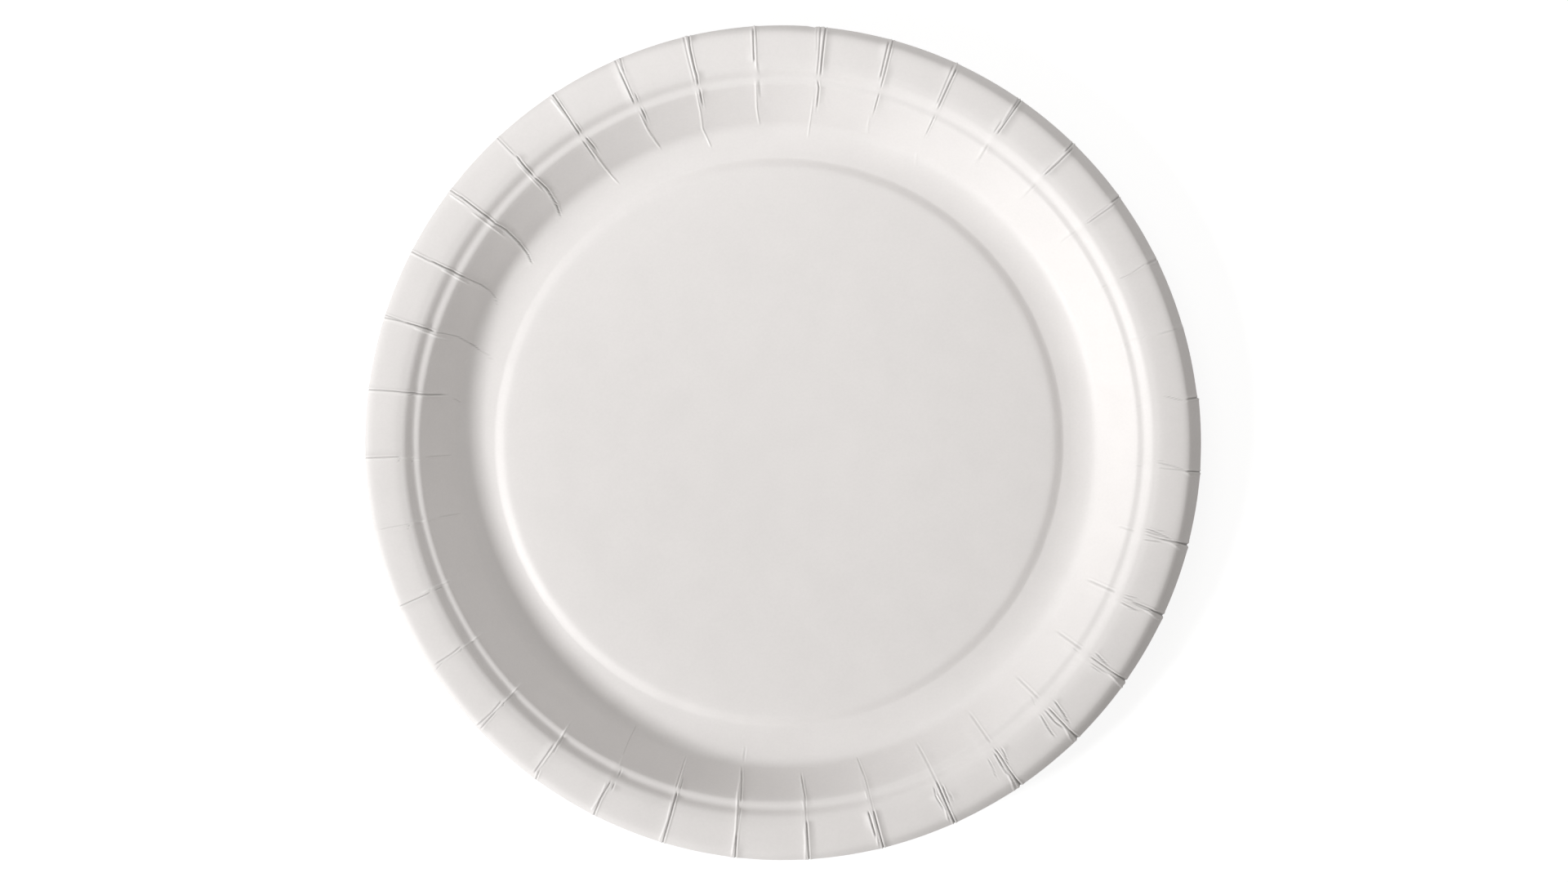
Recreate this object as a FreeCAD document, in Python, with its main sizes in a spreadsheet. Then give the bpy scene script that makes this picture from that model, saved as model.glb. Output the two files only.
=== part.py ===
"""Pressed paperboard plate, nine inch class, made of one sheet.

A round blank with score lines near its edge is pressed between two dies.
The pressed form is a raised flat floor, a broad ring foot, a sloping wall, a
narrow ledge, a step, a flat brim, and a curl that ends in a down-turned skirt.
The spare board of the rim gathers at the score lines as narrow pleats,
which stand proud of both faces and die out half way down the wall.

Frame: millimetres, +Z up, origin in the middle of the plate, on the
surface that the ring foot stands on.
"""
import FreeCAD, Part
import Sketcher
import math
import os

V = FreeCAD.Vector
NODE = "paper_plate"

os.makedirs("parts", exist_ok=True)
doc = FreeCAD.newDocument("pressed_plate")

# Sizes. Lengths are millimetres, angles are degrees. Every radius is
# reached inward from the outer edge, width by width, so that one width can
# change without crossing another.
SIZES = [
    ("board", 0.45, "thickness of the coated board"),
    ("plate_radius", 115.0, "outer edge of the skirt"),
    ("curl_run", 4.4, "width of the turn-down and skirt together"),
    ("curl_bend", 3.6, "radius of the turn-down"),
    ("skirt_angle", 60.0, "slope of the straight skirt"),
    ("brim_width", 6.4, "width of the flat brim"),
    ("shoulder_run", 2.4, "width of the rounded shoulder"),
    ("step_run", 1.9, "width of the straight part of the step"),
    ("step_rise", 2.6, "brim over the outer edge of the ledge"),
    ("ledge_width", 1.2, "width of the ledge"),
    ("ledge_rise", 0.15, "how much the ledge climbs outward"),
    ("wall_run", 14.1, "width of the wall, bend included"),
    ("wall_bend", 5.5, "radius of the bend at the bottom of the wall"),
    ("wall_angle", 44.5, "slope of the straight part of the wall"),
    ("foot_width", 5.4, "width of the ring that the plate stands on"),
    ("panel_run", 3.3, "width of the slope from ring foot to floor panel"),
    ("floor_rise", 1.7, "floor panel over the ring foot"),
    ("pleat_count", 36, "number of score lines"),
    ("pleat_reach", 8.1, "how far a pleat runs down the wall"),
    ("pleat_width", 1.2, "width of a pleat at the outer edge"),
    ("pleat_rise", 0.25, "height of a pleat over the upper face"),
    ("pleat_drop", 0.2, "height of a pleat under the lower face"),
    ("pleat_taper", 0.3, "share of that height left at the inner end"),
    ("first_pleat_angle", 6.1, "direction of the first pleat"),
    ("score_shift", 3.6, "how far the blank sat off centre, toward +Y"),
]
BEND_CHORDS = 3
TURN_CHORDS = 2

sheet = doc.addObject("Spreadsheet::Sheet", "size")
for row, (word, value, note) in enumerate(SIZES, start=1):
    sheet.set("A%d" % row, word)
    sheet.set("B%d" % row, str(value))
    sheet.setAlias("B%d" % row, word)
    sheet.set("C%d" % row, note)
doc.recompute()


def size(word):
    """The number in the sheet's cell of that name."""
    return float(sheet.get(word))


# The section. Its points are (radius, height). The lower face is the
# upper face moved by the board along its normal, with mitred corners.
def shoulder_turn(reach, rise, run):
    """Angle of the shoulder arc whose end is in line with the step below."""
    low, high = 0.1, 1.4
    for _ in range(60):
        turn = (low + high) / 2
        drop = reach * (1 - math.cos(turn)) / math.sin(turn)
        if math.atan2(rise - drop, run) > turn:
            low = turn
        else:
            high = turn
    return turn


def upper_points():
    """Upper face of the section from the axis to the end of the skirt."""
    board = size("board")
    slope = math.radians(size("wall_angle"))
    bend = size("wall_bend")
    curl_r = size("plate_radius") - size("curl_run")
    brim_r = curl_r - size("brim_width")
    ledge_out = brim_r - size("shoulder_run") - size("step_run")
    ledge_in = ledge_out - size("ledge_width")
    foot_out = ledge_in - size("wall_run")
    foot_in = foot_out - size("foot_width")
    floor_z = board + size("floor_rise")
    pts = [(0.0, floor_z)]
    pts.append((foot_in - size("panel_run"), floor_z))
    pts.append((foot_in, board))
    for i in range(BEND_CHORDS + 1):
        a = slope * i / BEND_CHORDS
        pts.append((foot_out + bend * math.sin(a), board + bend * (1 - math.cos(a))))
    r, z = pts[-1]
    pleat_r = ledge_in - size("pleat_reach")
    pts.append((pleat_r, z + (pleat_r - r) * math.tan(slope)))
    pts.append((ledge_in, z + (ledge_in - r) * math.tan(slope)))
    pts.append((ledge_out, pts[-1][1] + size("ledge_rise")))
    top = pts[-1][1] + size("step_rise")
    turn = shoulder_turn(size("shoulder_run"), size("step_rise"), size("step_run"))
    radius = size("shoulder_run") / math.sin(turn)
    for i in range(TURN_CHORDS + 1):
        a = turn * (1 - i / TURN_CHORDS)
        pts.append((brim_r - radius * math.sin(a), top - radius * (1 - math.cos(a))))
    curl = size("curl_bend")
    down = math.radians(size("skirt_angle"))
    for i in range(TURN_CHORDS + 1):
        a = down * i / TURN_CHORDS
        pts.append((curl_r + curl * math.sin(a), top - curl * (1 - math.cos(a))))
    r, z = pts[-1]
    pts.append((size("plate_radius"), z - (size("plate_radius") - r) * math.tan(down)))
    return pts


def moved(points, amounts):
    """The open outline moved along its normals, amount by amount."""
    normals = []
    for (r0, z0), (r1, z1) in zip(points, points[1:]):
        length = math.hypot(r1 - r0, z1 - z0)
        normals.append(((z0 - z1) / length, (r1 - r0) / length))
    out = []
    for i, (r, z) in enumerate(points):
        a = normals[max(i - 1, 0)]
        b = normals[min(i, len(normals) - 1)]
        m = (a[0] + b[0], a[1] + b[1])
        k = 2.0 * amounts[i] / (m[0] ** 2 + m[1] ** 2)
        out.append((r + m[0] * k, z + m[1] * k))
    return out


upper = upper_points()
lower = moved(upper, [-size("board")] * len(upper))
lower[0] = (0.0, lower[0][1])
START = 3 + BEND_CHORDS + 1

# The well: floor panel, ring foot and lower wall, one sketch turned about
# the axis. The upper corners are held from the axis and the table, and the
# lower lines run parallel to the upper ones, one board away.
well = doc.addObject("PartDesign::Body", "well")
well.Label = "well"
plane = [f for f in well.Origin.OriginFeatures if f.Role == "XZ_Plane"][0]
axis = [f for f in well.Origin.OriginFeatures if f.Role == "Z_Axis"][0]
sketch = well.newObject("Sketcher::SketchObject", "well_section")
sketch.AttachmentSupport = [(plane, "")]
sketch.MapMode = "FlatFace"
loop = upper[: START + 1] + lower[: START + 1][::-1]
count = len(loop)
lines = []
for i in range(count):
    a, b = loop[i], loop[(i + 1) % count]
    lines.append(Part.LineSegment(V(a[0], a[1], 0), V(b[0], b[1], 0)))
sketch.addGeometry(lines, False)
C = Sketcher.Constraint
for i in range(count):
    sketch.addConstraint(C("Coincident", i, 2, (i + 1) % count, 1))

LEDGE = ("(size.plate_radius - size.curl_run - size.brim_width - size.shoulder_run"
         " - size.step_run - size.ledge_width)")
FOOT = "(" + LEDGE + " - size.wall_run)"
FLOOR = "size.board + size.floor_rise"
SLOPE = "(size.wall_angle * 1 deg)"


def hold(index, name, point, across, up):
    """Hold a corner by its radius and its height, bound to the sheet."""
    for kind, value, rule, tag in (("DistanceX", point[0], across, "r"), ("DistanceY", point[1], up, "z")):
        if rule:
            n = sketch.addConstraint(C(kind, -1, 1, index, 1, value))
            sketch.renameConstraint(n, name + "_" + tag)
            sketch.setExpression("Constraints." + name + "_" + tag, rule)


sketch.addConstraint(C("PointOnObject", 0, 1, -2))
hold(0, "centre", loop[0], "", FLOOR)
hold(1, "panel", loop[1], FOOT + " - size.foot_width - size.panel_run", FLOOR)
hold(2, "foot", loop[2], FOOT + " - size.foot_width", "size.board")
for i in range(BEND_CHORDS + 1):
    share = "(size.wall_angle * %d / %d * 1 deg)" % (i, BEND_CHORDS)
    across = FOOT + " + size.wall_bend * sin" + share
    up = "size.board + size.wall_bend * (1 - cos" + share + ")"
    hold(3 + i, "bend%d" % i, loop[3 + i], across, up)
climb = "(size.wall_run - size.pleat_reach - size.wall_bend * sin" + SLOPE + ") * tan" + SLOPE
up = "size.board + size.wall_bend * (1 - cos" + SLOPE + ") + " + climb
hold(START, "wall", loop[START], LEDGE + " - size.pleat_reach", up)
for i in range(START):
    partner = count - 2 - i
    sketch.addConstraint(C("Parallel", i, partner))
    n = sketch.addConstraint(C("Distance", i, 1, partner, size("board")))
    sketch.renameConstraint(n, "board%d" % i)
    sketch.setExpression("Constraints.board%d" % i, "size.board")
sketch.addConstraint(C("Perpendicular", START - 1, START))
sketch.addConstraint(C("PointOnObject", count - 1, 1, -2))
turned_well = well.newObject("PartDesign::Revolution", "well_turned")
turned_well.Profile = sketch
turned_well.ReferenceAxis = (axis, [""])
turned_well.Angle = 360.0
well.Tip = turned_well
doc.recompute()


# The pleated rim. From the wall outward the sheet is turned between the
# pleats and folded at each of them. A pleat has two flanks: its feet lie on
# the turned pieces to either side, and its crest stands proud of them.
def pleat_angles():
    """Directions of the pleats, counter-clockwise, in degrees.

    The scores are evenly spaced on the blank. The blank sat a little off
    the centre of the dies, so on the plate the pitch drifts round the rim.
    """
    total = int(size("pleat_count"))
    start = size("first_pleat_angle")
    shift = math.degrees(size("score_shift") / size("plate_radius"))
    angles = []
    for k in range(total):
        even = start + 360.0 * k / total
        angles.append(even - shift * (1 - math.cos(math.radians(even))))
    return angles


rim_upper = upper[START:]
rim_lower = lower[START:]
grow = [size("pleat_taper")] + [1.0] * (len(rim_upper) - 1)
crest_upper = moved(rim_upper, [size("pleat_rise") * g for g in grow])
crest_lower = moved(rim_lower, [-size("pleat_drop") * g for g in grow])
# the inner end of each crest comes level with the ends of its feet
wall_tan = math.tan(math.radians(size("wall_angle")))
for feet, crest in ((rim_upper, crest_upper), (rim_lower, crest_lower)):
    crest[0] = (crest[0][0] - (crest[0][1] - feet[0][1]) / wall_tan, feet[0][1])
half_width = math.degrees(size("pleat_width") / 2 / size("plate_radius"))


def at(point, angle):
    """A section point turned about the axis to that angle in degrees."""
    a = math.radians(angle)
    return V(point[0] * math.cos(a), point[0] * math.sin(a), point[1])


def flat(*points):
    """A plane face through the points."""
    return Part.Face(Part.makePolygon(list(points) + [points[0]]))


def turned(points, start, sweep):
    """The open outline turned about the axis from one angle by another."""
    wire = Part.makePolygon([at(p, start) for p in points])
    return wire.revolve(V(0, 0, 0), V(0, 0, 1), sweep).Faces


def flank(feet, crest, foot_angle, crest_angle):
    """One side of a pleat, between its foot line and its crest line."""
    faces = []
    for i in range(len(feet) - 1):
        a, b = at(feet[i], foot_angle), at(feet[i + 1], foot_angle)
        c, d = at(crest[i], crest_angle), at(crest[i + 1], crest_angle)
        faces.append(flat(a, b, c))
        faces.append(flat(b, d, c))
    return faces


def pleat_end(foot, crest, angle):
    """Level face that closes the inner end of a pleat on one side."""
    a, b = at(foot, angle - half_width), at(foot, angle + half_width)
    arc = Part.Arc(a, at(foot, angle), b).toShape()
    tip = at(crest, angle)
    return Part.Face(Part.Wire([arc, Part.makeLine(b, tip), Part.makeLine(tip, a)]))


def rim_solid():
    """The rim as one closed solid: turned pieces with pleats between."""
    faces = []
    angles = pleat_angles()
    outline = rim_upper + rim_lower[::-1] + rim_upper[:1]
    for k, angle in enumerate(angles):
        after = angles[k + 1] if k + 1 < len(angles) else angles[0] + 360.0
        begin = angle + half_width
        faces += turned(outline, begin, after - half_width - begin)
        faces += turned([rim_lower[0], rim_upper[0]], angle - half_width, 2 * half_width)
        for foot_angle in (angle - half_width, angle + half_width):
            faces += flank(rim_upper, crest_upper, foot_angle, angle)
            faces += flank(rim_lower, crest_lower, foot_angle, angle)
            edge = [at(rim_upper[-1], foot_angle), at(rim_lower[-1], foot_angle)]
            tip = [at(crest_lower[-1], angle), at(crest_upper[-1], angle)]
            faces.append(flat(*(edge + tip)))
        faces.append(pleat_end(rim_upper[0], crest_upper[0], angle))
        faces.append(pleat_end(rim_lower[0], crest_lower[0], angle))
    skin = Part.Compound(faces)
    skin.sewShape(1e-5)
    solid = Part.Solid(skin.Shells[0])
    if solid.Volume < 0:
        solid.reverse()
    return solid


rim = doc.addObject("Part::Feature", "pleated_rim")
rim.Shape = rim_solid()

# The plate is one sheet, so the well and the rim become one solid.
plate = doc.addObject("Part::Fuse", NODE)
plate.Label = NODE
plate.Base = well
plate.Tool = rim
plate.Refine = False
doc.recompute()

for item in doc.Objects:
    if "Invalid" in item.State or "Error" in item.State:
        raise RuntimeError("failed: " + item.Name)
shape = plate.Shape
if shape.isNull() or not shape.isValid() or len(shape.Solids) != 1:
    raise RuntimeError("the plate is not one valid solid")
box = shape.BoundBox
print("volume %.0f mm3, area %.0f mm2" % (shape.Volume, shape.Area))
print("box %.2f x %.2f x %.2f mm" % (box.XLength, box.YLength, box.ZLength))
shape.Solids[0].exportStep("parts/" + plate.Label + ".step")
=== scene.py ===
"""A white pressed paper plate, seen from straight above.

The plate is one round blank of coated board. It is laid out flat here, row by row and column by column,
and a Geometry Nodes tree presses it to the section of the dies, the way the real blank is pressed. The
folds that gather at the score lines are drawn pleat by pleat, as short strokes on the flat blank.
"""

import math

import bpy
import numpy as np
from bpy.props import FloatProperty, FloatVectorProperty, PointerProperty
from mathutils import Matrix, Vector


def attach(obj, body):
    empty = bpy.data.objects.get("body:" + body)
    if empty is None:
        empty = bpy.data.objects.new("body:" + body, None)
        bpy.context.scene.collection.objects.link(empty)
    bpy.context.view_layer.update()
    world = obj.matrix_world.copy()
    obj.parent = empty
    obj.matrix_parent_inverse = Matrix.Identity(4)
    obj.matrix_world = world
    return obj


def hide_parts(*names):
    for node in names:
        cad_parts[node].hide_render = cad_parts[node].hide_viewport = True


bl_info = {
    "name": "Pressed paper plate",
    "version": (1, 0, 0),
    "blender": (4, 5, 0),
    "location": "View3D > Sidebar > Paper plate",
    "description": "Presses a scored blank of coated board into a plate and lights it from one side",
    "category": "Add Mesh",
}

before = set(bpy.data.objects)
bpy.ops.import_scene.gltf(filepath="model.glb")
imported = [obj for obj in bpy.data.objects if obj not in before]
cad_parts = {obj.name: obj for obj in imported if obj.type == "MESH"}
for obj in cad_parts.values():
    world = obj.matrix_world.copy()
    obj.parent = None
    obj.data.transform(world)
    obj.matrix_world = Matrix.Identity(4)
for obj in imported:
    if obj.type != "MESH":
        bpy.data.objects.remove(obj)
MM = 0.001
BOARD = 0.45

# The camera: the photo's scale at the height of the skirt's edge, and where the lens stands over the plate.
PICTURE_WIDTH = 1920.0
SENSOR_WIDTH = 36.0
PIXELS_PER_MM = 4.46
SKIRT_HEIGHT = 11.5 * MM
CAMERA_OFF = (0.15 * MM, 0.45 * MM)

# The floor lies just under the foot. Neither of its diagonals runs under the plate.
FLOOR_GAP = 0.1 * MM
FLOOR_CORNERS = [(-8.0, -6.0), (8.0, -6.0), (8.0, 10.0), (-8.0, 10.0)]


class PlateSizes(bpy.types.PropertyGroup):
    """The pressed form of the sheet."""

    board: FloatProperty(name="Board", description="Thickness of the coated board",
                         default=BOARD * MM, min=0.1 * MM, unit="LENGTH", precision=5)
    radius: FloatProperty(name="Outer radius", description="Axis to the lower edge of the skirt",
                          default=114.55 * MM, min=0.05, unit="LENGTH", precision=4)
    pleat_height: FloatProperty(name="Pleat height", description="How far a folded ridge stands out of the sheet",
                                default=0.32 * MM, min=0.0, unit="LENGTH", precision=5)
    pleat_depth: FloatProperty(name="Slit depth", description="How deep the slits beside the folds are",
                               default=0.22 * MM, min=0.0, unit="LENGTH", precision=5)
    under_height: FloatProperty(name="Pleat height below", description="How far a pleat stands out of the lower face",
                                default=0.18 * MM, min=0.0, unit="LENGTH", precision=5)


class BoardLook(bpy.types.PropertyGroup):
    """Colours of the coated board."""

    face: FloatVectorProperty(name="Coated face", description="Colour of the coated upper face",
                              subtype="COLOR", size=3, min=0.0, max=1.0, default=(0.775, 0.756, 0.748))
    back: FloatVectorProperty(name="Bare back", description="Colour of the uncoated lower face",
                              subtype="COLOR", size=3, min=0.0, max=1.0, default=(0.76, 0.74, 0.71))


class StageLook(bpy.types.PropertyGroup):
    """Floor, lights and camera."""

    key_power: FloatProperty(name="Key power", description="Power of the soft light on the left",
                             default=32.0, min=0.0, unit="POWER")
    window_power: FloatProperty(name="Top power", description="Power of the weak light beyond the top of the picture",
                                default=0.42, min=0.0, unit="POWER")
    fill_colour: FloatVectorProperty(name="Fill colour", description="Colour of the even light from all round",
                                     subtype="COLOR", size=3, min=0.0, max=1.0, default=(1.0, 0.955, 0.91))
    fill: FloatProperty(name="Fill", description="Strength of the even light from all round",
                        default=0.3, min=0.0)
    camera_height: FloatProperty(name="Camera height", description="Lens over the edge of the skirt",
                                 default=1.0, min=0.2, unit="LENGTH")


# The section of the dies: slope of the upper face in degrees at each radius in millimetres.
SLOPES = [
    (0, 0), (33, 1.2), (56, 0.5), (66, -2), (74, -3.5), (75.3, -5.2), (76.1, -10.5), (76.9, -22), (77.6, -29),
    (78.4, -26.5), (78.8, -14), (79.2, -5.5), (80, -4), (81.2, -3.2), (82, -1.2), (82.8, 1.2), (83.6, 3), (84.4, 5),
    (85.2, 7.5), (86.2, 10.5), (87.2, 16), (88.2, 27), (89.1, 40), (89.9, 48), (90.6, 47.5), (91.6, 46.4), (97.6, 46.4),
    (98, 44.5), (98.4, 33.5), (98.8, 18.5), (99.2, 8), (99.6, 6), (100, 13.5), (100.4, 27), (100.8, 36), (101.2, 41.5),
    (101.7, 44), (102, 37.5), (102.4, 24.6), (102.8, 13), (103.2, 11.6), (104.2, 11), (104.8, 6.2), (106, 2.5),
    (108, 0.5), (110, -1), (111.2, -4), (112.1, -11.5), (112.8, -26), (113.5, -43), (114.2, -54), (116.9, -58),
]

# The panel is drawn in wide steps up to its end. The lowest point of the foot lies within the second radius.
PANEL_END = 72.0
FOOT_WITHIN = 90.0

# The blank lay off the middle of the dies when it was pressed: where the middle of the dies comes, in millimetres
# from the middle of the blank, and from the point that the scores run out from.
DIE_SHIFT = (-1.47, -0.09)
SCORE_SHIFT = (-0.67, -0.09)


def section_outline(coarse=4.0, fine=0.2):
    """The outline of the upper face from the axis outward, as an array of (radius, height) points."""
    radii, slopes = (np.array(column, float) for column in zip(*SLOPES))
    r = np.unique(np.concatenate([np.arange(0.0, PANEL_END, coarse), np.arange(PANEL_END, radii[-1], fine)]))
    rise = np.tan(np.radians(np.interp(r, radii, slopes)))
    z = np.concatenate([[0.0], np.cumsum((rise[1:] + rise[:-1]) / 2 * np.diff(r))])
    return np.stack([r, z - z[r < FOOT_WITHIN].min() + BOARD], axis=1)
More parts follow.
